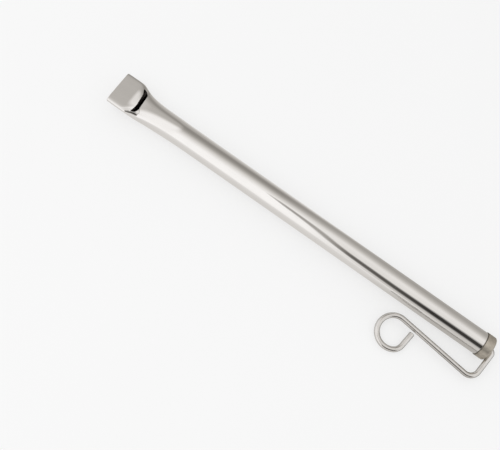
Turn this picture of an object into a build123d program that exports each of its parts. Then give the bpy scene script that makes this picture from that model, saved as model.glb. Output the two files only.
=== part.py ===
"""Slide whistle: a plated tube with a pressed mouth, a sliding piston and a bent wire handle.

The sizes below are in millimetres. The pieces are modelled along the barrel's own axis, which is X,
with the mouth's tip at X = 0 and the window facing up, and are moved to the part's frame at the end.
"""

import os
from math import asin, cos, degrees, radians, sin, sqrt

from build123d import *

# Barrel: one thin tube whose mouth end is pressed flat
tube_od = 15.875
tube_wall = 0.6
tube_length = 287.4

# Bill: the flat end that goes between the lips
bill_length = 11.8
bill_tip_width = 23.9
bill_root_width = 24.2
bill_height = 2.7
bill_rise = 4.6

# Mouth: the ramp behind the bill and the taper back to the round tube
ramp_length = 11.1
taper_length = 46.8
side_shoulder = 8.5
belly_shoulder = 4.7
round_split_angle = 45.0
flat_split_angle = 90.0

# Window: the crescent between the ramp's rounded tongue and the pressed lip
tongue_length = 5.5
window_width = 17.2
window_gap = 1.4
tongue_sagitta = 3.0
lip_corner_radius = 3.9
lip_drop = 3.4
labium_length = 31.3
press_start = 0.1

# Windway block: the wedge under the ramp that closes the air column
block_setback = 1.5
block_fit = 0.03

# End cap: a cup over the tube's far end, with a hole that guides the rod
cap_rim_length = 5.8
cap_wall = 0.4
cap_end_wall = 1.2
cap_fit = 0.02
cap_corner_radius = 1.5
cap_hole_clearance = 0.06

# Bumper: a felt ring inside the cap that stops the piston
bumper_thickness = 2.0
bumper_edge_fit = 0.05
bumper_hole_clearance = 0.4

# Slide wire: the rod, the leg, the shank and the finger ring, bent from one wire
wire_diameter = 3.57
rod_bend_clearance = 0.3
rod_bend_radius = 2.3
rod_bend_angle = 96.3
leg_length = 13.7
corner_bend_radius = 6.6
corner_bend_angle = 90.4
shank_length = 50.5
ring_radius = 10.7
ring_arc_angle = 218.3
ring_close_radius = 7.1
ring_close_angle = 49.6
tail_length = 10.4

# Piston: two leather cups and a felt ring between washers and nuts on the rod's end
piston_lead = 6.0
thread_end_length = 0.6
thread_clearance = 0.02
nut_across_flats = 6.35
nut_height = 2.4
washer_diameter = 11.0
washer_thickness = 0.8
cup_base_thickness = 1.4
cup_wall = 1.1
cup_depth = 3.6
felt_thickness = 4.0
packing_bore_clearance = 0.05
packing_rod_clearance = 0.05
packing_end_clearance = 0.05
felt_ease = 0.15

# Places along the barrel, and radii
tube_radius = tube_od / 2
bore_radius = tube_radius - tube_wall
wire_radius = wire_diameter / 2
bend_x = bill_length
ramp_end_x = bend_x + ramp_length
tongue_x = bend_x + tongue_length
press_x = tongue_x + press_start
lip_x = tongue_x + window_gap
round_x = ramp_end_x + taper_length
labium_end_x = lip_x + labium_length
cap_end_x = tube_length + cap_end_wall
cap_radius = tube_radius + cap_fit + cap_wall
rod_tip_x = round_x + piston_lead
rod_bend_x = cap_end_x + rod_bend_clearance
lip_z = tube_radius - lip_drop
bill_floor_z = bill_rise - bill_height + tube_wall
overcut = 1.0


def across(x):
    """Plane across the barrel at x, with its own x along Y and its own y along Z."""
    return Plane(origin=(x, 0, 0), x_dir=(0, 1, 0), z_dir=(1, 0, 0))


def falloff(distance, shoulder):
    """One at the bend, easing down to nothing where the tube is round again."""
    end = 1 / (1 + ((round_x - bend_x) / shoulder) ** 2)
    value = 1 / (1 + (distance / shoulder) ** 2)
    return (value - end) / (1 - end)


def flat_section(x, half_width, inset):
    """Outline of the bill at x: two flats joined by half circles."""
    top = bill_rise - inset
    bottom = bill_rise - bill_height + inset
    radius = (top - bottom) / 2
    middle = (top + bottom) / 2
    side = half_width - inset
    corner = side - radius
    edges = [
        Line((-corner, top), (corner, top)),
        ThreePointArc((corner, top), (side, middle), (corner, bottom)),
        Line((corner, bottom), (-corner, bottom)),
        ThreePointArc((-corner, bottom), (-side, middle), (-corner, top)),
    ]
    return across(x) * Wire(edges)


def bill_body(inset):
    """The bill as a full solid: a flat core with a rounded edge along each side."""
    top = bill_rise - inset
    bottom = bill_rise - bill_height + inset
    radius = (top - bottom) / 2
    middle = (top + bottom) / 2
    tip_side = bill_tip_width / 2 - inset
    root_side = bill_root_width / 2 - inset
    tip_corner = tip_side - radius
    root_corner = root_side - radius
    plan = Polyline(
        (0, -tip_corner),
        (bend_x, -root_corner),
        (bend_x, root_corner),
        (0, tip_corner),
        close=True,
    )
    body = extrude(Plane.XY.offset(bottom) * make_face(plan), top - bottom)
    for hand in (-1, 1):
        ends = []
        for x, side, corner in ((0, tip_side, tip_corner), (bend_x, root_side, root_corner)):
            chord = Line((hand * corner, bottom), (hand * corner, top))
            arc = ThreePointArc((hand * corner, top), (hand * side, middle), (hand * corner, bottom))
            ends.append(across(x) * Wire([chord, arc]))
        body += Solid.make_loft(ends, ruled=True)
    return body


def oval_section(x, inset):
    """Outline of the mouth at x: an oval of four tangent arcs between the bill and the round tube."""
    distance = x - bend_x
    ramp_share = min(1.0, distance / ramp_length)
    top = bill_rise + (tube_radius - bill_rise) * ramp_share - inset
    bill_bottom = bill_rise - bill_height
    bottom = (bill_bottom + tube_radius) * falloff(distance, belly_shoulder) - tube_radius + inset
    side = tube_radius + (bill_root_width / 2 - tube_radius) * falloff(distance, side_shoulder) - inset
    split = radians(flat_split_angle + (round_split_angle - flat_split_angle) * ramp_share)
    middle = (top + bottom) / 2
    half_height = (top - bottom) / 2
    skew = (1 - sin(split)) / cos(split)
    side_arc_radius = (half_height - side * skew) / (1 - skew)
    corner_y = side - side_arc_radius * (1 - cos(split))
    corner_z = side_arc_radius * sin(split)
    edges = [
        ThreePointArc((-corner_y, middle + corner_z), (0, top), (corner_y, middle + corner_z)),
        ThreePointArc((corner_y, middle + corner_z), (side, middle), (corner_y, middle - corner_z)),
        ThreePointArc((corner_y, middle - corner_z), (0, bottom), (-corner_y, middle - corner_z)),
        ThreePointArc((-corner_y, middle - corner_z), (-side, middle), (-corner_y, middle + corner_z)),
    ]
    return across(x) * Wire(edges)


def labium_press(inset):
    """The space above the lip: what the press takes off the top of the tube behind the window."""
    curve_radius = (labium_length**2 + lip_drop**2) / (2 * lip_drop)
    length = labium_end_x - press_x
    block = Pos(press_x + length / 2, 2 * tube_radius) * Rectangle(length, 4 * tube_radius)
    curve = Pos(labium_end_x, tube_radius - curve_radius) * Circle(curve_radius - inset)
    return extrude(Plane.XZ * (block - curve), bill_root_width, both=True)


def barrel_body(inset, end_overcut):
    """The barrel as a full solid, drawn in by inset and longer by end_overcut at both ends."""
    mouth_steps = 8
    taper_steps = 12
    mouth_sections = [flat_section(bend_x, bill_root_width / 2, inset)]
    for step in range(1, mouth_steps + 1):
        mouth_sections.append(oval_section(bend_x + ramp_length * step / mouth_steps, inset))
    mouth = Solid.make_loft(mouth_sections, ruled=True)
    taper_sections = []
    for step in range(taper_steps + 1):
        taper_sections.append(oval_section(ramp_end_x + taper_length * (step / taper_steps) ** 2, inset))
    taper = Solid.make_loft(taper_sections, ruled=True)
    straight = extrude(across(round_x) * Circle(tube_radius - inset), tube_length - round_x + end_overcut)
    body = bill_body(inset) + mouth + taper + straight
    if end_overcut > 0:
        body += extrude(make_face(flat_section(0, bill_tip_width / 2, inset)), -end_overcut)
    return body - labium_press(inset)


def window_cut():
    """The crescent window, cut straight down through the top of the mouth."""
    half_width = window_width / 2
    root_x = tongue_x - tongue_sagitta
    flat_half = half_width - lip_corner_radius
    shoulder_x = lip_x - lip_corner_radius
    arc_share = lip_corner_radius * sqrt(0.5)
    outline = [
        ThreePointArc((root_x, -half_width), (tongue_x, 0), (root_x, half_width)),
        Line((root_x, half_width), (shoulder_x, half_width)),
        ThreePointArc(
            (shoulder_x, half_width),
            (shoulder_x + arc_share, flat_half + arc_share),
            (lip_x, flat_half),
        ),
        Line((lip_x, flat_half), (lip_x, -flat_half)),
        ThreePointArc(
            (lip_x, -flat_half),
            (shoulder_x + arc_share, -flat_half - arc_share),
            (shoulder_x, -half_width),
        ),
        Line((shoulder_x, -half_width), (root_x, -half_width)),
    ]
    floor = Plane.XY.offset(bill_floor_z)
    return extrude(floor * make_face(outline), 2 * tube_radius)


def barrel_tube():
    """The plated tube with its bill, ramp, window and pressed labium."""
    return barrel_body(0, 0) - barrel_body(tube_wall, overcut) - window_cut()


def windway_block():
    """The wedge that forms the windway's floor under the ramp and closes the air column."""
    front_x = bend_x + block_setback
    profile = make_face(
        Polyline(
            (front_x, -tube_radius),
            (tongue_x, -tube_radius),
            (tongue_x, lip_z - tube_wall),
            (front_x, bill_floor_z),
            close=True,
        )
    )
    wedge = extrude(Plane.XZ * profile, bill_root_width, both=True)
    return barrel_body(tube_wall + block_fit, 0) & wedge


def end_cap():
    """The cup over the tube's end, rounded at its outer corner and bored for the rod."""
    rim_x = tube_length - cap_rim_length
    cup = extrude(across(rim_x) * Circle(cap_radius), cap_end_x - rim_x)
    outer_corner = cup.edges().sort_by(Axis.X)[-1]
    cup = fillet(outer_corner, cap_corner_radius)
    socket = extrude(across(rim_x) * Circle(tube_radius + cap_fit), cap_rim_length)
    hole = extrude(across(tube_length) * Circle(wire_radius + cap_hole_clearance), cap_end_wall)
    return cup - socket - hole


def ring_washer(front_x, thickness, outer_radius, hole_radius):
    """A flat ring on the barrel's axis."""
    return extrude(across(front_x) * (Circle(outer_radius) - Circle(hole_radius)), thickness)


def bumper_washer():
    """The felt ring inside the cap."""
    outer_radius = bore_radius - bumper_edge_fit
    hole_radius = wire_radius + bumper_hole_clearance
    return ring_washer(tube_length - bumper_thickness, bumper_thickness, outer_radius, hole_radius)


def leather_cup(base_x, direction):
    """A cup leather with its base at base_x and its lip standing towards direction along X."""
    outer_radius = bore_radius - packing_bore_clearance
    hole_radius = wire_radius + packing_rod_clearance
    cup = extrude(across(base_x) * Circle(outer_radius), direction * cup_depth)
    hollow = extrude(
        across(base_x + direction * cup_base_thickness) * Circle(outer_radius - cup_wall),
        direction * cup_depth,
    )
    hole = extrude(across(base_x) * Circle(hole_radius), direction * cup_depth)
    return cup - hollow - hole


def hex_nut(front_x):
    """A plain hexagon nut on the rod's end."""
    flats = RegularPolygon(nut_across_flats / 2, 6, major_radius=False)
    return extrude(across(front_x) * (flats - Circle(wire_radius + thread_clearance)), nut_height)


def run_on(bend, length):
    """A straight run that carries on from the end of a bend."""
    return Line(bend @ 1, (bend @ 1) + (bend % 1) * length)


def wire_path():
    """The wire's middle line, laid level, from the rod's tip to the end of the finger ring's tail."""
    rod = Line((rod_tip_x, 0), (rod_bend_x, 0))
    rod_bend = JernArc(rod @ 1, rod % 1, rod_bend_radius, -rod_bend_angle)
    leg = run_on(rod_bend, leg_length)
    corner = JernArc(leg @ 1, leg % 1, corner_bend_radius, -corner_bend_angle)
    shank = run_on(corner, shank_length)
    ring = JernArc(shank @ 1, shank % 1, ring_radius, ring_arc_angle)
    ring_close = JernArc(ring @ 1, ring % 1, ring_close_radius, ring_close_angle)
    tail = run_on(ring_close, tail_length)
    return Wire([rod, rod_bend, leg, corner, shank, ring, ring_close, tail])


def handle_dip_angle():
    """How far the handle hangs below level, so that its ring rests on the same table as the cap."""
    ring_reach = -wire_path().bounding_box().min.Y
    return degrees(asin((cap_radius - wire_radius) / ring_reach))


def slide_wire():
    """The rod, its two bends, the shank, the open finger ring and the ring's short tail."""
    wire = sweep(across(rod_tip_x) * Circle(wire_radius), path=wire_path())
    return Rot(handle_dip_angle(), 0, 0) * wire


def piston_pieces():
    """The wire and all that is stacked on its end, from the mouth side to the handle side."""
    hole_radius = wire_radius + thread_clearance
    front_nut_x = rod_tip_x + thread_end_length
    front_washer_x = front_nut_x + nut_height
    front_cup_x = front_washer_x + washer_thickness + packing_end_clearance + cup_base_thickness
    rear_cup_x = front_cup_x + felt_thickness
    rear_washer_x = rear_cup_x + cup_base_thickness + packing_end_clearance
    rear_nut_x = rear_washer_x + washer_thickness
    return {
        "slide_wire": slide_wire(),
        "front_nut": hex_nut(front_nut_x),
        "front_washer": ring_washer(front_washer_x, washer_thickness, washer_diameter / 2, hole_radius),
        "front_leather_cup": leather_cup(front_cup_x, -1),
        "felt_packing": ring_washer(
            front_cup_x,
            felt_thickness,
            bore_radius - packing_bore_clearance - felt_ease,
            wire_radius + packing_rod_clearance,
        ),
        "rear_leather_cup": leather_cup(rear_cup_x, 1),
        "rear_washer": ring_washer(rear_washer_x, washer_thickness, washer_diameter / 2, hole_radius),
        "rear_nut": hex_nut(rear_nut_x),
    }


def all_pieces():
    """Every piece by its name, along the barrel's axis."""
    pieces = {
        "barrel_tube": barrel_tube(),
        "windway_block": windway_block(),
        "end_cap": end_cap(),
        "bumper_washer": bumper_washer(),
    }
    pieces.update(piston_pieces())
    return pieces


pieces = all_pieces()

# The part's frame: its origin is under the middle of the whole object, on the table
box = Compound(children=[Compound(list(piece.solids())) for piece in pieces.values()]).bounding_box()
to_frame = Pos(-(box.min.X + box.max.X) / 2, -(box.min.Y + box.max.Y) / 2, -box.min.Z)

os.makedirs("parts", exist_ok=True)
for name, piece in pieces.items():
    export_step(to_frame * piece, f"parts/{name}.step")

rear_stop_x = tube_length - bumper_thickness
rear_nut_end_x = pieces["rear_nut"].bounding_box().max.X
print("axis at", to_frame.position)
print("slide travel", rear_stop_x - rear_nut_end_x)
print("handle dip", handle_dip_angle())
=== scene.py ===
"""Looks of the slide whistle: a plated barrel, a satin cap and a bent wire handle on a pale floor.

Sizes of the whistle are in millimetres along the barrel's own axis: X runs from the mouth's tip, which
is at zero, and Z points up out of the window. MM turns them into the frame's metres. Sizes of the studio
and of the finishes are in metres, and the studio's elevations are in degrees.
"""

import math

import bmesh
import bpy
import numpy as np
from mathutils import Matrix, Vector


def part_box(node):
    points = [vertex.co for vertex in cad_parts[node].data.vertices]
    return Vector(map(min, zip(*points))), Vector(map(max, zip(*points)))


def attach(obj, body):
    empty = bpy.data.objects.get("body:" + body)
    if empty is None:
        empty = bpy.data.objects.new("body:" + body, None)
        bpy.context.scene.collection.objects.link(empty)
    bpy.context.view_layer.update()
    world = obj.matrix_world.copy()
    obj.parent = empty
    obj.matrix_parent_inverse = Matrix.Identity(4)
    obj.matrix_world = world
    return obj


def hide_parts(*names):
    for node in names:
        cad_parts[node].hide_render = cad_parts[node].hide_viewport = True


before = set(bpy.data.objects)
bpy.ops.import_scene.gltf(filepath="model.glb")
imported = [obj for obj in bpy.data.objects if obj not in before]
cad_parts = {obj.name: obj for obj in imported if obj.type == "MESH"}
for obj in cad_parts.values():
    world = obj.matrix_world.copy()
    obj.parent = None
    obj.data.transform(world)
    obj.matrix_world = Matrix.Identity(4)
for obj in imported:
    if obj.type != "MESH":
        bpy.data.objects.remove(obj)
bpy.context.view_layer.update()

MM = 0.001

# Places taken from the frame
barrel_low, barrel_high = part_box("barrel_tube")
cap_low, cap_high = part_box("end_cap")
axis_origin = np.array((barrel_low.x, (cap_low.y + cap_high.y) / 2, (cap_low.z + cap_high.z) / 2))
tube_length = (barrel_high.x - barrel_low.x) / MM
cap_end_x = (cap_high.x - barrel_low.x) / MM
cap_rim_x = (cap_low.x - barrel_low.x) / MM
cap_radius = (cap_high.z - cap_low.z) / 2 / MM

# Barrel: each shoulder is the distance past the bend over which a size of the bill eases off by half
tube_radius = 15.875 / 2
tube_wall = 0.6
bend_x = 11.8
bend_softness = 1.4
bill_tip_half = 23.9 / 2
bill_root_half = 24.2 / 2
bill_rise = 4.6
bill_height = 2.7
bill_squareness = 6.5
tip_corner = 0.8
ramp_length = 11.1
round_x = 69.7
side_shoulder = 8.5
belly_shoulder = 4.7
middle_shoulder = 5.3
edge_shoulder = 2.2
edge_lead = 2.0
sag_depth = 0.9
sag_x = 31.5
sag_reach = 12.0
rim_bevel = 0.1
rim_bevel_steps = 2
rim_bevel_angle = math.radians(60)

# Window: both edges lie a little askew, with the near end further back, and bend forward at their ends
window_x = 16.0
window_far_gap = 2.9
window_near_gap = 0.7
tongue_x = 16.7
tongue_skew = 0.125
tongue_far_start = 4.3
tongue_far_power = 1.5
tongue_near_start = 3.6
tongue_near_power = 1.6
tongue_ring_x = 15.0
lip_x = 19.4
lip_skew = 0.07
lip_far_start = 5.8
lip_far_drop = 2.2
lip_far_power = 2.4
lip_near_start = 4.8
lip_near_drop = 3.2
lip_near_power = 2.5
lip_ring_x = 16.4

# Labium: the stretch behind the lip that the press pushed down, more gently beyond the window's ends
lip_drop = 3.4
labium_end_x = 50.0
labium_curve = 1.5
labium_flatness = 0.6
press_side_start = 4.0
press_side_end = 9.5
press_side_reach = 5.6

# End cap: the points of its straight runs keep clear of the corners by the margins
cap_corner = 1.5
cap_roll = 0.3
cap_seat_gap = 0.02
rod_hole_gap = 0.06
rod_hole_ease = 0.25
rim_margin = 0.6
side_margin = 0.4
face_margin = 0.6
face_inner_radius = 3.0

# Wire handle
wire_radius = 3.57 / 2
wire_end_ease = 0.3
rod_tip_x = 75.7
rod_stand_off = 0.3
rod_bend_radius = 2.3
rod_bend = math.radians(96.3)
leg_length = 13.7
corner_bend_radius = 6.6
corner_bend = math.radians(90.4)
shank_length = 50.5
ring_radius = 10.7
ring_arc = math.radians(218.3)
ring_close_radius = 7.1
ring_close = math.radians(49.6)
tail_length = 10.4

# Barrel's columns: they gather at four places, two of them by the window's ends
columns = 240
column_gathers = 4
column_gather = 0.6
window_near_columns = 43
window_far_columns = 37
window_first = columns // 2 - window_near_columns
window_last = columns // 2 + window_far_columns

# Where a column, in radians from the upright, stops keeping its share of the width
fold_start = 1.0
fold_reach = 0.45

# Barrel's rows: the bend's rows start and end a few softnesses from it, and warped ones follow the window
bend_softnesses_before = 3
bend_softnesses_after = 2
warp_end_x = 34.0
bill_rows = 16
bill_row_power = 1.7
bend_rows = 14
ramp_rows = 18
window_rows = 3
labium_rows = 44
labium_row_power = 1.2
taper_rows = 34
tube_rows = 60

# Density of the other meshes
cap_sides = 128
cap_roll_points = 5
cap_side_points = 8
cap_corner_points = 12
cap_face_points = 5
wire_sides = 32
rod_steps = 40
leg_steps = 8
shank_steps = 16
tail_steps = 6
bend_step = math.radians(3)
least_bend_steps = 8
sharp_angle = math.radians(40)

# Finishes: noise between the ends of a band goes from the first tone or gloss to the second
smudge_detail = 4.0
smudge_tone_band = (0.35, 0.7)
smudge_gloss_band = (0.3, 0.75)
metal_grain_detail = 6.0
metal_grain_depth = 0.00002
soft_grain_detail = 8.0
soft_grain_band = (0.3, 0.7)

# Light tent: greys by elevation, from the -Y side over the top to the +Y side, in stretches along X
tent_radius = 0.7
tent_half_length = 1.2
tent_steps = 91
tent_elevations = (0, 180)
tent_tilt_per_metre = 99.0
tent_tilt_x = -0.06
tent_glow = 1.1
front_shift = 0.08
front_shift_end = 60
mouth_half_greys = (
    (0, 0.95), (20, 0.99), (60, 0.97), (75, 0.86), (92, 0.7), (108, 0.52), (114, 0.44),
    (122, 0.37), (132, 0.31), (145, 0.27), (155, 0.28), (165, 0.34), (176, 0.45),
)
cap_half_x = (-0.02, 0.1)
cap_half_greys = (
    (0, 0.56), (12, 0.62), (22, 0.8), (60, 0.76), (98, 0.82), (105, 0.78), (112, 0.72),
    (120, 0.63), (128, 0.56), (136, 0.5), (145, 0.45), (155, 0.41), (165, 0.385), (180, 0.36),
)
panel_x = (-0.18, -0.25)
panel_greys = (
    (0, 0.95), (88, 0.93), (98, 0.83), (106, 0.63), (113, 0.49), (122, 0.47),
    (130, 0.41), (138, 0.31), (146, 0.29), (154, 0.34), (165, 0.43), (176, 0.5),
)
end_wall_x = (-0.43, -0.56)
end_wall_greys = (
    (0, 0.95), (105, 0.85), (115, 0.8), (124, 0.76), (127, 0.62), (131, 0.43), (145, 0.36), (176, 0.5),
)

# Dark flag: rows of x with its lower and upper elevation, and greys by x
flag_share = 0.97
flag_steps = 13
flag_soft_edge = 0.3
flag_middle = 0.5
flag_rows = (
    (-0.03, 68, 74),
    (-0.003, 58, 81),
    (0.02, 55, 80),
    (0.045, 44, 80),
    (0.065, 30, 78),
    (0.085, 22, 66),
    (0.107, 16, 59),
    (0.184, 8, 57),
    (0.25, 8, 63),
    (0.305, 9, 66),
    (0.9, 9, 66),
)
flag_greys = (
    (-0.03, 0.55), (-0.003, 0.36), (0.02, 0.36), (0.06, 0.42), (0.085, 0.32),
    (0.107, 0.14), (0.184, 0.09), (0.25, 0.03), (0.305, 0.045),
)

# Table card: greys by y as the gloss shows them, and the x where the cap's greys take over
table_reach = 3.0
table_lift = 0.0004
table_greys_y = (-0.5, 0.5)
table_mouth_greys = (
    (-0.2, 0.93), (-0.062, 0.86), (-0.028, 0.79), (-0.007, 0.75),
    (0.001, 0.72), (0.044, 0.69), (0.1, 0.58), (0.4, 0.48),
)
table_cap_greys = (
    (-0.4, 0.69), (-0.06, 0.65), (-0.03, 0.6), (-0.01, 0.5), (0.01, 0.5), (0.044, 0.44), (0.4, 0.42),
)
table_cap_x = (0.07, 0.13)
table_turn_y = (-0.05, 0.1)
table_turn_x = (-0.02, 0.11)

# A studio grey's green and blue, as shares of its red: in white, and how much less in black
green_share = 0.98
green_loss = 0.055
blue_share = 0.97
blue_loss = 0.14

# Floor and lights
floor_reach = 4.0
floor_tones = ((0.35, 0.35, 0.35), (0.36, 0.36, 0.36))
floor_grain = (8, 8, 8)
floor_detail = 3.0
floor_glow = 0.57
key_place = (-0.5, -0.7, 1.3)
key_target = (0, 0, 0)
key_size = 1.2
key_power = 6.0
white = (1.0, 1.0, 1.0, 1)
world_glow = 0.85

# Camera: it looks along +Y and down, rolled, and stands off a place on the axis to its right, up and back
camera_elevation = math.radians(65.5)
camera_roll = math.radians(34.94)
camera_lens = 64.8
camera_sensor = 36.0
camera_watched_x = 270.4
camera_offset = (-0.13717, 0.06862, 0.5715)


def in_frame(points):
    """Barrel millimetres to the frame's metres."""
    return np.asarray(points, float) * MM + axis_origin


def smoothstep(value):
    """Eases from zero to one as the value does."""
    value = np.clip(value, 0, 1)
    return value * value * (3 - 2 * value)


def past(value, start, end):
    """How far a value is past start on its way to end, from zero to one."""
    return np.clip((value - start) / (end - start), 0, 1)


def rounded(share, power):
    """The drop of a rounded corner, from zero to one."""
    return 1 - (1 - share**power) ** (1 / power)


def falloff(distance, shoulder):
    """One at the bend, easing down to nothing where the tube is round again."""
    end = 1 / (1 + ((round_x - bend_x) / shoulder) ** 2)
    value = 1 / (1 + (np.clip(distance, 0, round_x - bend_x) / shoulder) ** 2)
    return (value - end) / (1 - end)


def ramp_share(distance):
    """How far up the ramp a place is, from zero at the bend to one, eased at both ends."""
    start = np.logaddexp(0, distance / bend_softness)
    end = np.logaddexp(0, (distance - ramp_length) / bend_softness)
    return np.clip((start - end) * bend_softness / ramp_length, 0, 1)


def labium_left(x):
    """The share of the labium that lies behind x: one at the lip, more before it, and none at its end."""
    return np.clip((labium_end_x - x) / (labium_end_x - lip_x), 0, None)


def top_height(x, press):
    """The mouth's top: the ramp, pushed down towards the labium by the share of the press."""
    ramp = bill_rise + (tube_radius - bill_rise) * ramp_share(x - bend_x)
    labium = np.minimum(ramp, tube_radius - lip_drop * labium_left(x) ** labium_curve)
    return ramp + (labium - ramp) * press


def bottom_height(x):
    """The mouth's belly, which falls from under the bill to the underside of the tube."""
    bill_bottom = bill_rise - bill_height
    return (bill_bottom + tube_radius) * falloff(x - bend_x, belly_shoulder) - tube_radius


def middle_height(x):
    """The height at which the mouth is widest, which sags a little behind the window."""
    sag = smoothstep((x - bend_x) / sag_reach) * np.exp(-(((x - sag_x) / sag_reach) ** 2))
    return (bill_rise - bill_height / 2) * falloff(x - bend_x, middle_shoulder) - sag_depth * sag


def half_width(x):
    """Half the mouth's width, with the corners of its tip rounded."""
    narrowing = (bill_root_half - bill_tip_half) * np.clip(1 - x / bend_x, 0, 1) ** 2
    flare = (bill_root_half - tube_radius) * falloff(x - bend_x, side_shoulder)
    rounding = tip_corner - np.sqrt(tip_corner**2 - np.clip(tip_corner - x, 0, None) ** 2)
    return tube_radius + flare - narrowing - rounding


def outline_power(x, press):
    """The power of the mouth's outline: two is an ellipse, and a higher power is squarer."""
    bill = (bill_squareness - 2) * falloff(x - bend_x + edge_lead, edge_shoulder)
    return 2 + bill + labium_flatness * press * np.clip(labium_left(x), 0, 1)


def column_fold(angle, power):
    """A column's angle from the upright, so that over the top it keeps its share of the width."""
    fold = np.arcsin(np.clip(np.abs(np.sin(angle)), 0, 1))
    level = (1 - np.sin(fold) ** power) ** (1 / power)
    straight = np.arctan2(np.sin(fold), level)
    return straight + (fold - straight) * smoothstep((fold - fold_start) / fold_reach)


def oval_points(x, angle, inset, press):
    """Y and Z on the mouth's outline at x: a flat rounded box in the bill, which eases to the tube.

    The angle goes round from the top, with +Y to its positive side. The press is the share, from zero to
    one, by which the top is pushed down from the ramp to the labium.
    """
    top = top_height(x, press) - inset
    bottom = bottom_height(x) + inset
    middle = middle_height(x)
    power = outline_power(x, press)
    fold = column_fold(angle, power)
    across = np.sin(fold) * np.sign(np.sin(angle))
    upward = np.cos(fold) * np.sign(np.cos(angle))
    reach = (np.abs(across) ** power + np.abs(upward) ** power) ** (-1 / power)
    half_height = np.where(upward > 0, top - middle, middle - bottom)
    return (half_width(x) - inset) * reach * across, middle + half_height * reach * upward


def column_angles():
    """Angles of the barrel's columns from the top, with +Y positive."""
    turn = np.linspace(-math.pi, math.pi, columns, endpoint=False)
    return turn + column_gather / column_gathers * np.sin(column_gathers * turn)


def window_edges(angle):
    """X of the tongue's edge and of the lip for each column, easing to plain rings below the window."""
    near_angle = angle[window_first]
    far_angle = angle[window_last]
    near_y, far_y = oval_points(window_x, np.array((near_angle, far_angle)), 0.0, 0.0)[0]
    y = oval_points(window_x, np.clip(angle, near_angle, far_angle), 0.0, 0.0)[0]
    far = past(y, lip_far_start, far_y) ** lip_far_power
    near = rounded(past(-y, lip_near_start, -near_y), lip_near_power)
    lip = lip_x - lip_skew * y - lip_far_drop * far - lip_near_drop * near
    far_drop = tongue_x - lip_x + (lip_skew - tongue_skew) * far_y + lip_far_drop + window_far_gap
    near_drop = tongue_x - lip_x + (lip_skew - tongue_skew) * near_y + lip_near_drop + window_near_gap
    far = past(y, tongue_far_start, far_y) ** tongue_far_power
    near = past(-y, tongue_near_start, -near_y) ** tongue_near_power
    tongue = tongue_x - tongue_skew * y - far_drop * far - near_drop * near
    outside = np.where(angle > 0, angle - far_angle, near_angle - angle)
    below = smoothstep(outside / (math.pi / 2))
    return tongue + (tongue_ring_x - tongue) * below, lip + (lip_ring_x - lip) * below


def press_shares(x, angle):
    """How much of the press each place takes.

    It is none up to the tongue and all from the lip, and it grows more slowly at the sides.
    """
    tongue, lip = window_edges(angle)
    y = np.abs(oval_points(window_x, angle, 0.0, 0.0)[0])
    sideways = smoothstep(past(y, press_side_start, press_side_end))
    reach = (lip - tongue) * (1 - sideways) + press_side_reach * sideways
    return smoothstep((x - tongue) / reach)


def level_rows(places):
    """Rows that each stay at one x."""
    return [np.full(columns, x) for x in places]


def rows_between(start, end, shares):
    """Rows that go by shares from the row at start to the row at end."""
    return [start + (end - start) * share for share in shares]


def row_places(angle):
    """X for every row and column, with the rows bent to follow the window's edges."""
    bill_end = bend_x - bend_softnesses_before * bend_softness
    bend_end = bend_x + bend_softnesses_after * bend_softness
    tongue, lip = window_edges(angle)
    rows = level_rows(bill_end * np.linspace(0, 1, bill_rows, endpoint=False) ** bill_row_power)
    rows += level_rows(np.linspace(bill_end, bend_end, bend_rows, endpoint=False))
    rows += rows_between(bend_end, tongue, np.linspace(0, 1, ramp_rows))
    tongue_row = len(rows) - 1
    rows += rows_between(tongue, lip, np.linspace(0, 1, window_rows + 2)[1:-1])
    lip_row = len(rows)
    rows += rows_between(lip, warp_end_x, np.linspace(0, 1, labium_rows) ** labium_row_power)
    rows += level_rows(np.linspace(warp_end_x, round_x, taper_rows)[1:])
    rows += level_rows(np.linspace(round_x, tube_length, tube_rows)[1:])
    return np.array(rows), tongue_row, lip_row


def barrel_surface(x, angle, inset):
    """The barrel's points in millimetres, as rows of columns, drawn in by inset."""
    y, z = oval_points(x, angle, inset, press_shares(x, angle))
    return np.stack((x, y, z), axis=-1)


def new_object(name, data):
    """An object of a mesh, lamp or camera, in the scene."""
    item = bpy.data.objects.new(name, data)
    bpy.context.scene.collection.objects.link(item)
    return item


def mesh_piece(name, points, faces, second_faces=()):
    """A mesh in the frame from millimetre points; the second faces take the second material."""
    mesh = bpy.data.meshes.new(name)
    mesh.from_pydata(in_frame(points).tolist(), [], list(faces) + list(second_faces))
    for polygon in mesh.polygons[len(faces):]:
        polygon.material_index = 1
    shape = bmesh.new()
    shape.from_mesh(mesh)
    loose = [vertex for vertex in shape.verts if not vertex.link_faces]
    bmesh.ops.delete(shape, geom=loose, context="VERTS")
    bmesh.ops.recalc_face_normals(shape, faces=shape.faces)
    shape.to_mesh(mesh)
    shape.free()
    mesh.shade_smooth()
    mesh.set_sharp_from_angle(angle=sharp_angle)
    return new_object(name, mesh)


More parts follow.
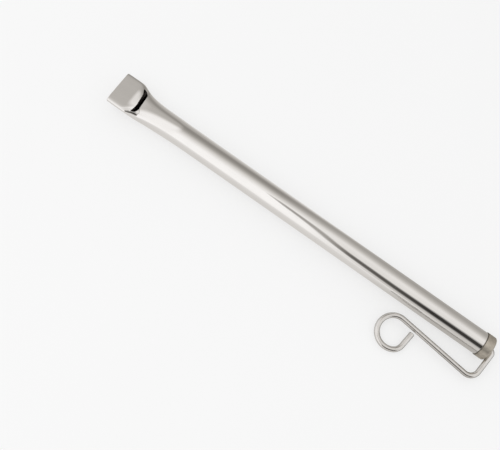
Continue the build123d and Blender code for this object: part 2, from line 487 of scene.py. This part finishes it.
def barrel_piece():
    """The plated tube: an outer and an inner skin, joined along the tip, the far end and the window.

    The inner skin and the window's rim take the second material, a near black that paints the shade
    inside the tube.
    """
    angle = column_angles()
    x, tongue_row, lip_row = row_places(angle)
    outer = barrel_surface(x, angle, 0.0)
    inner = barrel_surface(x, angle, tube_wall)
    points = np.concatenate((outer.reshape(-1, 3), inner.reshape(-1, 3)))
    last_row = len(x) - 1
    skin = len(x) * columns

    def at(row, column):
        return row * columns + column % columns

    def open_here(row, column):
        return tongue_row <= row < lip_row and window_first <= column < window_last

    outer_faces = []
    inner_faces = []
    end_rim = []
    window_rim = []
    for row in range(last_row):
        for column in range(columns):
            if open_here(row, column):
                continue
            loop = (at(row, column), at(row, column + 1), at(row + 1, column + 1), at(row + 1, column))
            outer_faces.append(loop)
            inner_faces.append(tuple(index + skin for index in reversed(loop)))
    for column in range(columns):
        for row in (0, last_row):
            end_rim.append((at(row, column), at(row, column + 1)))
    for column in range(window_first, window_last):
        for row in (tongue_row, lip_row):
            window_rim.append((at(row, column), at(row, column + 1)))
    for row in range(tongue_row, lip_row):
        for column in (window_first, window_last):
            window_rim.append((at(row, column), at(row + 1, column)))
    outer_faces += [(a, b, b + skin, a + skin) for a, b in end_rim]
    inner_faces += [(a, b, b + skin, a + skin) for a, b in window_rim]
    return mesh_piece("barrel_skin", points, outer_faces, inner_faces)


def add_rim_bevel(piece):
    """Eases the sharp rims of a piece."""
    bevel = piece.modifiers.new("rim_bevel", "BEVEL")
    bevel.width = rim_bevel * MM
    bevel.segments = rim_bevel_steps
    bevel.limit_method = "ANGLE"
    bevel.angle_limit = rim_bevel_angle


def band_faces(first, second, sides):
    """Faces between two rings of points, from the number of each ring's first point."""
    faces = []
    for side in range(sides):
        neighbour = (side + 1) % sides
        faces.append((first + side, first + neighbour, second + neighbour, second + side))
    return faces


def lathe_piece(name, profile, sides, second_bands):
    """A closed profile of (x, radius) points, turned about the axis.

    Its first bands, as many as second_bands says, take the second material.
    """
    turn = np.linspace(0, 2 * math.pi, sides, endpoint=False)
    points = []
    for x, radius in profile:
        points += [(x, radius * math.cos(a), radius * math.sin(a)) for a in turn]
    faces = []
    for ring in range(len(profile)):
        following = (ring + 1) % len(profile)
        faces += band_faces(ring * sides, following * sides, sides)
    split = second_bands * sides
    return mesh_piece(name, points, faces[split:], faces[:split])


def arc_points(centre_x, centre_r, radius, start, end, count):
    """Profile points along an arc, with its angles in degrees from the +X direction."""
    angles = np.radians(np.linspace(start, end, count))
    return [(centre_x + radius * math.cos(a), centre_r + radius * math.sin(a)) for a in angles]


def cap_piece():
    """The end cap: a pressed cup with a rolled rim, a rounded outer corner and a hole for the rod."""
    inner_radius = tube_radius + cap_seat_gap
    hole_radius = wire_radius + rod_hole_gap
    side_end = cap_end_x - cap_corner
    face_radius = cap_radius - cap_corner
    side = np.linspace(cap_rim_x + rim_margin, side_end - side_margin, cap_side_points)
    face = np.linspace(face_radius - face_margin, face_inner_radius, cap_face_points)
    profile = [(cap_rim_x, inner_radius)]
    profile += arc_points(cap_rim_x + cap_roll, cap_radius - cap_roll, cap_roll, 180, 90, cap_roll_points)
    # The rim face and its roll take the dark seam finish, which paints the shade in the seam against the
    # barrel
    seam_shade_bands = len(profile)
    profile += [(x, cap_radius) for x in side]
    profile += arc_points(side_end, face_radius, cap_corner, 90, 0, cap_corner_points)
    profile += [(cap_end_x, radius) for radius in face]
    profile += [(cap_end_x, hole_radius + rod_hole_ease), (cap_end_x - rod_hole_ease, hole_radius)]
    profile += [(tube_length, hole_radius), (tube_length, inner_radius)]
    return lathe_piece("cap_shell", profile, cap_sides, seam_shade_bands)


def ahead(heading):
    """One millimetre along a heading."""
    return np.array((math.cos(heading), math.sin(heading)))


def add_run(path, length, steps):
    """Adds a straight run to the end of a path."""
    place, heading = path[-1]
    for _ in range(steps):
        place = place + length / steps * ahead(heading)
        path.append((place, heading))


def add_bend(path, radius, turn):
    """Adds a bend to the end of a path, to the left where the turn is positive."""
    place, heading = path[-1]
    steps = max(least_bend_steps, round(abs(turn) / bend_step))
    step = turn / steps
    chord = 2 * radius * math.sin(abs(step) / 2)
    for _ in range(steps):
        place = place + chord * ahead(heading + step / 2)
        heading += step
        path.append((place, heading))


def wire_path():
    """Points and headings along the wire's middle line, level, from the rod's tip to the tail's end."""
    path = [(np.array((rod_tip_x, 0.0)), 0.0)]
    add_run(path, cap_end_x + rod_stand_off - rod_tip_x, rod_steps)
    add_bend(path, rod_bend_radius, -rod_bend)
    add_run(path, leg_length, leg_steps)
    add_bend(path, corner_bend_radius, -corner_bend)
    add_run(path, shank_length, shank_steps)
    add_bend(path, ring_radius, ring_arc)
    add_bend(path, ring_close_radius, ring_close)
    add_run(path, tail_length, tail_steps)
    return path


def handle_dip(path):
    """How far the handle hangs below level, so that its ring rests on the floor beside the barrel."""
    ring_reach = -min(place[1] for place, heading in path)
    return math.asin((cap_radius - wire_radius) / ring_reach)


def wire_rings(path):
    """The middle, heading and radius of each ring along a path, with eased ends."""
    start, start_heading = path[0]
    end, end_heading = path[-1]
    eased_radius = wire_radius - wire_end_ease
    rings = [(start, start_heading, eased_radius)]
    rings.append((start + wire_end_ease * ahead(start_heading), start_heading, wire_radius))
    rings += [(place, heading, wire_radius) for place, heading in path[1:-1]]
    rings.append((end - wire_end_ease * ahead(end_heading), end_heading, wire_radius))
    rings.append((end, end_heading, eased_radius))
    return rings


def wire_piece():
    """The rod, bends, shank, finger ring and tail, swept as one round wire."""
    path = wire_path()
    dip = handle_dip(path)
    rings = wire_rings(path)
    points = []
    for place, heading, radius in rings:
        across = np.array((-math.sin(heading), math.cos(heading)))
        for side in range(wire_sides):
            turn = 2 * math.pi * side / wire_sides
            x, level_y = place + radius * math.cos(turn) * across
            level_z = radius * math.sin(turn)
            y = level_y * math.cos(dip) - level_z * math.sin(dip)
            z = level_y * math.sin(dip) + level_z * math.cos(dip)
            points.append((x, y, z))
    faces = [tuple(range(wire_sides)), tuple(range(len(points) - wire_sides, len(points)))]
    for ring in range(len(rings) - 1):
        faces += band_faces(ring * wire_sides, (ring + 1) * wire_sides, wire_sides)
    return mesh_piece("handle_wire", points, faces)


def new_material(name):
    """A node material, its tree and its Principled shader."""
    material = bpy.data.materials.new(name)
    material.use_nodes = True
    return material, material.node_tree, material.node_tree.nodes["Principled BSDF"]


def stretched_noise(tree, stretch, detail):
    """Noise in the object's own coordinates, with its scale per metre set for each axis."""
    coordinates = tree.nodes.new("ShaderNodeTexCoord")
    mapping = tree.nodes.new("ShaderNodeMapping")
    mapping.inputs["Scale"].default_value = stretch
    noise = tree.nodes.new("ShaderNodeTexNoise")
    noise.inputs["Scale"].default_value = 1.0
    noise.inputs["Detail"].default_value = detail
    tree.links.new(coordinates.outputs["Object"], mapping.inputs["Vector"])
    tree.links.new(mapping.outputs["Vector"], noise.inputs["Vector"])
    return noise.outputs["Fac"]


def spread(tree, value, low, high, first, second):
    """Maps a value between low and high to the range from first to second."""
    node = tree.nodes.new("ShaderNodeMapRange")
    node.inputs["From Min"].default_value = low
    node.inputs["From Max"].default_value = high
    node.inputs["To Min"].default_value = first
    node.inputs["To Max"].default_value = second
    tree.links.new(value, node.inputs["Value"])
    return node.outputs["Result"]


def two_tone(tree, value, first, second):
    """A colour that goes from first to second with a value from zero to one."""
    node = tree.nodes.new("ShaderNodeMix")
    node.data_type = "RGBA"
    node.inputs["A"].default_value = (*first, 1)
    node.inputs["B"].default_value = (*second, 1)
    tree.links.new(value, node.inputs["Factor"])
    return node.outputs["Result"]


def add_bump(tree, shader, height, strength, depth):
    """Makes a surface bumpy, to a depth in metres."""
    node = tree.nodes.new("ShaderNodeBump")
    node.inputs["Strength"].default_value = strength
    node.inputs["Distance"].default_value = depth
    tree.links.new(height, node.inputs["Height"])
    tree.links.new(node.outputs["Normal"], shader.inputs["Normal"])


def metal(name, colours, roughness, smudges, grain, grain_strength, glance=1.0):
    """Metal with smudges that change its shade and gloss, and a fine grain along or across it.

    The smudges and the grain are scales for each axis. The glance is the share of light that the metal
    keeps where it is seen edge on.
    """
    material, tree, shader = new_material(name)
    shader.inputs["Metallic"].default_value = 1.0
    shader.inputs["Specular Tint"].default_value = (glance, glance, glance, 1)
    smudge = stretched_noise(tree, smudges, smudge_detail)
    tone = spread(tree, smudge, *smudge_tone_band, 0.0, 1.0)
    tree.links.new(two_tone(tree, tone, *colours), shader.inputs["Base Color"])
    tree.links.new(spread(tree, smudge, *smudge_gloss_band, *roughness), shader.inputs["Roughness"])
    height = stretched_noise(tree, grain, metal_grain_detail)
    add_bump(tree, shader, height, grain_strength, metal_grain_depth)
    return material


def soft_material(name, colours, roughness, grain, grain_strength, grain_depth):
    """A dull material with two tones and a bumpy surface, for felt, leather and wood."""
    material, tree, shader = new_material(name)
    height = stretched_noise(tree, grain, soft_grain_detail)
    tone = spread(tree, height, *soft_grain_band, 0.0, 1.0)
    tree.links.new(two_tone(tree, tone, *colours), shader.inputs["Base Color"])
    tree.links.new(spread(tree, height, *soft_grain_band, *roughness), shader.inputs["Roughness"])
    add_bump(tree, shader, height, grain_strength, grain_depth)
    return material


def paint(piece, *materials):
    """Gives a new piece its materials; its faces keep the numbers that choose between them."""
    for material in materials:
        piece.data.materials.append(material)


def emission_material(name):
    """A material that only glows, its tree and its glow."""
    material = bpy.data.materials.new(name)
    material.use_nodes = True
    tree = material.node_tree
    tree.nodes.clear()
    glow = tree.nodes.new("ShaderNodeEmission")
    output = tree.nodes.new("ShaderNodeOutputMaterial")
    tree.links.new(glow.outputs["Emission"], output.inputs["Surface"])
    return material, tree, glow


def shade(level):
    """A grey of the studio, a little warm, and warmer the darker it is."""
    darkness = 1 - level
    green = level * (green_share - green_loss * darkness)
    blue = level * (blue_share - blue_loss * darkness)
    return (level, green, blue, 1)


def greys(tree, value, low, high, stops):
    """Greys by a value, from stops of places between low and high and their levels."""
    node = tree.nodes.new("ShaderNodeValToRGB")
    band = node.color_ramp
    while len(band.elements) < len(stops):
        band.elements.new(0.5)
    for element, (place, level) in zip(band.elements, stops):
        element.position = (place - low) / (high - low)
        element.color = shade(level)
    tree.links.new(spread(tree, value, low, high, 0.0, 1.0), node.inputs["Fac"])
    return node.outputs["Color"]


def math_node(tree, operation, *values):
    """A math node from sockets and numbers."""
    node = tree.nodes.new("ShaderNodeMath")
    node.operation = operation
    for socket, value in zip(node.inputs, values):
        if isinstance(value, (int, float)):
            socket.default_value = value
        else:
            tree.links.new(value, socket)
    return node.outputs["Value"]


def blend_colours(tree, factor, first, second):
    """The first colour where the factor is zero and the second where it is one."""
    node = tree.nodes.new("ShaderNodeMix")
    node.data_type = "RGBA"
    tree.links.new(factor, node.inputs["Factor"])
    tree.links.new(first, node.inputs["A"])
    tree.links.new(second, node.inputs["B"])
    return node.outputs["Result"]


def place_parts(tree):
    """The sockets of a place's X, Y and Z in the object's own coordinates."""
    coordinates = tree.nodes.new("ShaderNodeTexCoord")
    parts = tree.nodes.new("ShaderNodeSeparateXYZ")
    tree.links.new(coordinates.outputs["Object"], parts.inputs["Vector"])
    return parts.outputs


def card_from_rows(name, rows):
    """A sheet through rows of points."""
    width = len(rows[0])
    faces = []
    for row in range(len(rows) - 1):
        for column in range(width - 1):
            corner = row * width + column
            faces.append((corner, corner + 1, corner + width + 1, corner + width))
    mesh = bpy.data.meshes.new(name)
    mesh.from_pydata([point for row in rows for point in row], [], faces)
    mesh.shade_smooth()
    return new_object(name, mesh)


def level_card(name, reach):
    """A level square sheet that reaches as far on each side."""
    return card_from_rows(name, [[(-reach, y, 0), (reach, y, 0)] for y in (-reach, reach)])


def tent_places(x, radius, elevations):
    """Points at one x on a half-round sheet over the axis."""
    angles = np.radians(elevations)
    return [(x, -radius * math.cos(a), radius * math.sin(a)) for a in angles]


def on_barrel_axis(card):
    """Puts a card that is built around the axis where the barrel's axis is."""
    card.location = (0.0, axis_origin[1], axis_origin[2])


def reflection_only(card):
    """Keeps a studio card out of sight and out of the lighting, so that only gloss shows it."""
    card.visible_camera = False
    card.visible_diffuse = False
    card.visible_shadow = False
    card.visible_transmission = False
    card.visible_volume_scatter = False


def light_tent():
    """A half-round tent over the whistle: white in front and above, grey behind, white past the mouth."""
    elevations = np.linspace(*tent_elevations, tent_steps)
    ends = (-tent_half_length, tent_half_length)
    tent = card_from_rows("light_tent", [tent_places(x, tent_radius, elevations) for x in ends])
    material, tree, glow = emission_material("tent_cloth")
    x, y, z = place_parts(tree)
    turn = math_node(tree, "ARCTAN2", z, math_node(tree, "MULTIPLY", y, -1.0))
    elevation = math_node(tree, "DEGREES", turn)
    from_tilt_x = math_node(tree, "SUBTRACT", x, tent_tilt_x)
    tilted = math_node(tree, "MULTIPLY_ADD", from_tilt_x, -tent_tilt_per_metre, elevation)
    shift = spread(tree, elevation, 0, front_shift_end, front_shift, 0.0)
    colour = greys(tree, tilted, *tent_elevations, mouth_half_greys)
    for place, reach, stops in (
        (math_node(tree, "SUBTRACT", x, shift), cap_half_x, cap_half_greys),
        (x, panel_x, panel_greys),
        (x, end_wall_x, end_wall_greys),
    ):
        share = spread(tree, place, *reach, 0.0, 1.0)
        colour = blend_colours(tree, share, colour, greys(tree, elevation, *tent_elevations, stops))
    tree.links.new(colour, glow.inputs["Color"])
    glow.inputs["Strength"].default_value = tent_glow
    paint(tent, material)
    on_barrel_axis(tent)
    reflection_only(tent)


def dark_flag():
    """A dark flag inside the tent, with soft edges, which draws the stripe along the barrel."""
    rows = []
    for x, low, high in flag_rows:
        rows.append(tent_places(x, flag_share * tent_radius, np.linspace(low, high, flag_steps)))
    flag = card_from_rows("dark_flag", rows)
    across = flag.data.attributes.new("across", "FLOAT", "POINT")
    across.data.foreach_set("value", np.tile(np.linspace(0, 1, flag_steps), len(rows)))
    material, tree, glow = emission_material("flag_cloth")
    x = place_parts(tree)["X"]
    tree.links.new(greys(tree, x, flag_rows[0][0], flag_rows[-1][0], flag_greys), glow.inputs["Color"])
    place = tree.nodes.new("ShaderNodeAttribute")
    place.attribute_name = "across"
    from_edge = math_node(tree, "PINGPONG", place.outputs["Fac"], flag_middle)
    clear = tree.nodes.new("ShaderNodeBsdfTransparent")
    cover = tree.nodes.new("ShaderNodeMixShader")
    tree.links.new(spread(tree, from_edge, 0.0, flag_soft_edge, 0.0, 1.0), cover.inputs["Fac"])
    tree.links.new(clear.outputs["BSDF"], cover.inputs[1])
    tree.links.new(glow.outputs["Emission"], cover.inputs[2])
    tree.links.new(cover.outputs["Shader"], tree.nodes["Material Output"].inputs["Surface"])
    paint(flag, material)
    on_barrel_axis(flag)
    reflection_only(flag)


def table_card():
    """The table as the gloss shows it: white in front of the mouth half, grey behind and by the cap."""
    table = level_card("table_card", table_reach)
    material, tree, glow = emission_material("table_cloth")
    place = place_parts(tree)
    mouth = greys(tree, place["Y"], *table_greys_y, table_mouth_greys)
    cap = greys(tree, place["Y"], *table_greys_y, table_cap_greys)
    turned = math_node(tree, "ADD", place["X"], spread(tree, place["Y"], *table_turn_y, *table_turn_x))
    share = spread(tree, turned, *table_cap_x, 0.0, 1.0)
    tree.links.new(blend_colours(tree, share, mouth, cap), glow.inputs["Color"])
    paint(table, material)
    table.location = (0.0, 0.0, table_lift)
    reflection_only(table)


def floor_piece():
    """The pale floor, which glows a little, so that shadows stay light."""
    floor = level_card("floor", floor_reach)
    material, tree, shader = new_material("pale_floor")
    grain = stretched_noise(tree, floor_grain, floor_detail)
    tree.links.new(two_tone(tree, grain, *floor_tones), shader.inputs["Base Color"])
    shader.inputs["Roughness"].default_value = 1.0
    shader.inputs["Specular IOR Level"].default_value = 0.0
    shader.inputs["Emission Color"].default_value = white
    shader.inputs["Emission Strength"].default_value = floor_glow
    paint(floor, material)


def key_light():
    """A square soft box that points at the whistle and doesn't show in reflections."""
    data = bpy.data.lights.new("key_light", "AREA")
    data.size = key_size
    data.energy = key_power
    lamp = new_object("key_light", data)
    lamp.location = key_place
    direction = Vector(key_target) - Vector(key_place)
    lamp.rotation_euler = direction.to_track_quat("-Z", "Y").to_euler()
    lamp.visible_glossy = False
    lamp.visible_camera = False


def white_world():
    """An even white light from all round."""
    world = bpy.data.worlds.new("studio_world")
    world.use_nodes = True
    background = world.node_tree.nodes["Background"]
    background.inputs["Color"].default_value = white
    background.inputs["Strength"].default_value = world_glow
    bpy.context.scene.world = world


def photo_camera():
    """The camera at the photograph's angle, over the barrel's -Y side."""
    level = Vector((1, 0, 0))
    rise = Vector((0, math.sin(camera_elevation), math.cos(camera_elevation)))
    back = level.cross(rise)
    right = math.cos(camera_roll) * level + math.sin(camera_roll) * rise
    up = math.cos(camera_roll) * rise - math.sin(camera_roll) * level
    turn = Matrix((right, up, back)).transposed()
    place = Vector(in_frame((camera_watched_x, 0, 0))) + turn @ Vector(camera_offset)
    data = bpy.data.cameras.new("photo_camera")
    data.lens = camera_lens
    data.sensor_width = camera_sensor
    camera = new_object("photo_camera", data)
    camera.matrix_world = Matrix.Translation(place) @ turn.to_4x4()
    bpy.context.scene.camera = camera


# Materials of the pieces that show
plate = metal(
    "bright_plate",
    colours=((0.865, 0.86, 0.85), (0.835, 0.83, 0.82)),
    roughness=(0.05, 0.1),
    smudges=(60, 140, 140),
    grain=(40, 3000, 3000),
    grain_strength=0.012,
)
# Near black inner skin and window rim: painted shade for the dark inside the tube, not the plating's own
# colour
bore_shade = metal(
    "tube_bore_shade",
    colours=((0.02, 0.02, 0.02), (0.04, 0.04, 0.035)),
    roughness=(0.5, 0.7),
    smudges=(80, 80, 80),
    grain=(60, 900, 900),
    grain_strength=0.1,
)
satin = metal(
    "satin_plate",
    colours=((0.64, 0.6, 0.53), (0.47, 0.44, 0.38)),
    roughness=(0.4, 0.52),
    smudges=(200, 200, 200),
    grain=(5000, 1400, 1400),
    grain_strength=0.12,
)
# Dark brown on the cap's rolled rim: painted shade for the thin dark line where the cap meets the barrel
seam_shade = metal(
    "cap_seam_shade",
    colours=((0.24, 0.22, 0.19), (0.16, 0.15, 0.13)),
    roughness=(0.4, 0.5),
    smudges=(200, 200, 200),
    grain=(5000, 1400, 1400),
    grain_strength=0.1,
)
drawn = metal(
    "drawn_wire",
    colours=((0.78, 0.77, 0.755), (0.7, 0.69, 0.67)),
    roughness=(0.13, 0.21),
    smudges=(180, 180, 180),
    grain=(1500, 1500, 2600),
    grain_strength=0.03,
    glance=0.3,
)

# Materials of the pieces inside
steel = metal(
    "stamped_steel",
    colours=((0.6, 0.6, 0.61), (0.5, 0.5, 0.5)),
    roughness=(0.3, 0.45),
    smudges=(300, 300, 300),
    grain=(2600, 900, 900),
    grain_strength=0.1,
)
brass = metal(
    "turned_brass",
    colours=((0.78, 0.6, 0.3), (0.66, 0.48, 0.22)),
    roughness=(0.2, 0.35),
    smudges=(300, 300, 300),
    grain=(4200, 700, 700),
    grain_strength=0.1,
)
leather = soft_material(
    "cup_leather",
    colours=((0.2, 0.11, 0.055), (0.36, 0.22, 0.12)),
    roughness=(0.45, 0.7),
    grain=(900, 900, 900),
    grain_strength=0.3,
    grain_depth=0.00015,
)
felt = soft_material(
    "wool_felt",
    colours=((0.62, 0.58, 0.5), (0.76, 0.73, 0.66)),
    roughness=(0.9, 1.0),
    grain=(1800, 1800, 1800),
    grain_strength=0.6,
    grain_depth=0.0003,
)
# Near black: the block's wood tone darkened into painted shade, for the dark seen through the window
wood = soft_material(
    "block_wood",
    colours=((0.008, 0.006, 0.004), (0.02, 0.013, 0.009)),
    roughness=(0.5, 0.7),
    grain=(90, 900, 700),
    grain_strength=0.3,
    grain_depth=0.0001,
)

# Pieces that stand for the nodes that show
barrel = barrel_piece()
paint(barrel, plate, bore_shade)
add_rim_bevel(barrel)
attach(barrel, "barrel")
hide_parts("barrel_tube")

cap = cap_piece()
paint(cap, satin, seam_shade)
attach(cap, "barrel")
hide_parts("end_cap")

wire = wire_piece()
paint(wire, drawn)
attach(wire, "slide_rod")
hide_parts("slide_wire")

# Nodes that keep their shape and get a finish
for node, material in (
    ("windway_block", wood),
    ("bumper_washer", felt),
    ("felt_packing", felt),
    ("front_leather_cup", leather),
    ("rear_leather_cup", leather),
    ("front_washer", steel),
    ("rear_washer", steel),
    ("front_nut", brass),
    ("rear_nut", brass),
):
    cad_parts[node].material_slots[0].material = material

# Studio and camera
light_tent()
dark_flag()
table_card()
floor_piece()
key_light()
white_world()
photo_camera()
bpy.context.scene.view_settings.view_transform = "Standard"

bpy.context.view_layer.update()
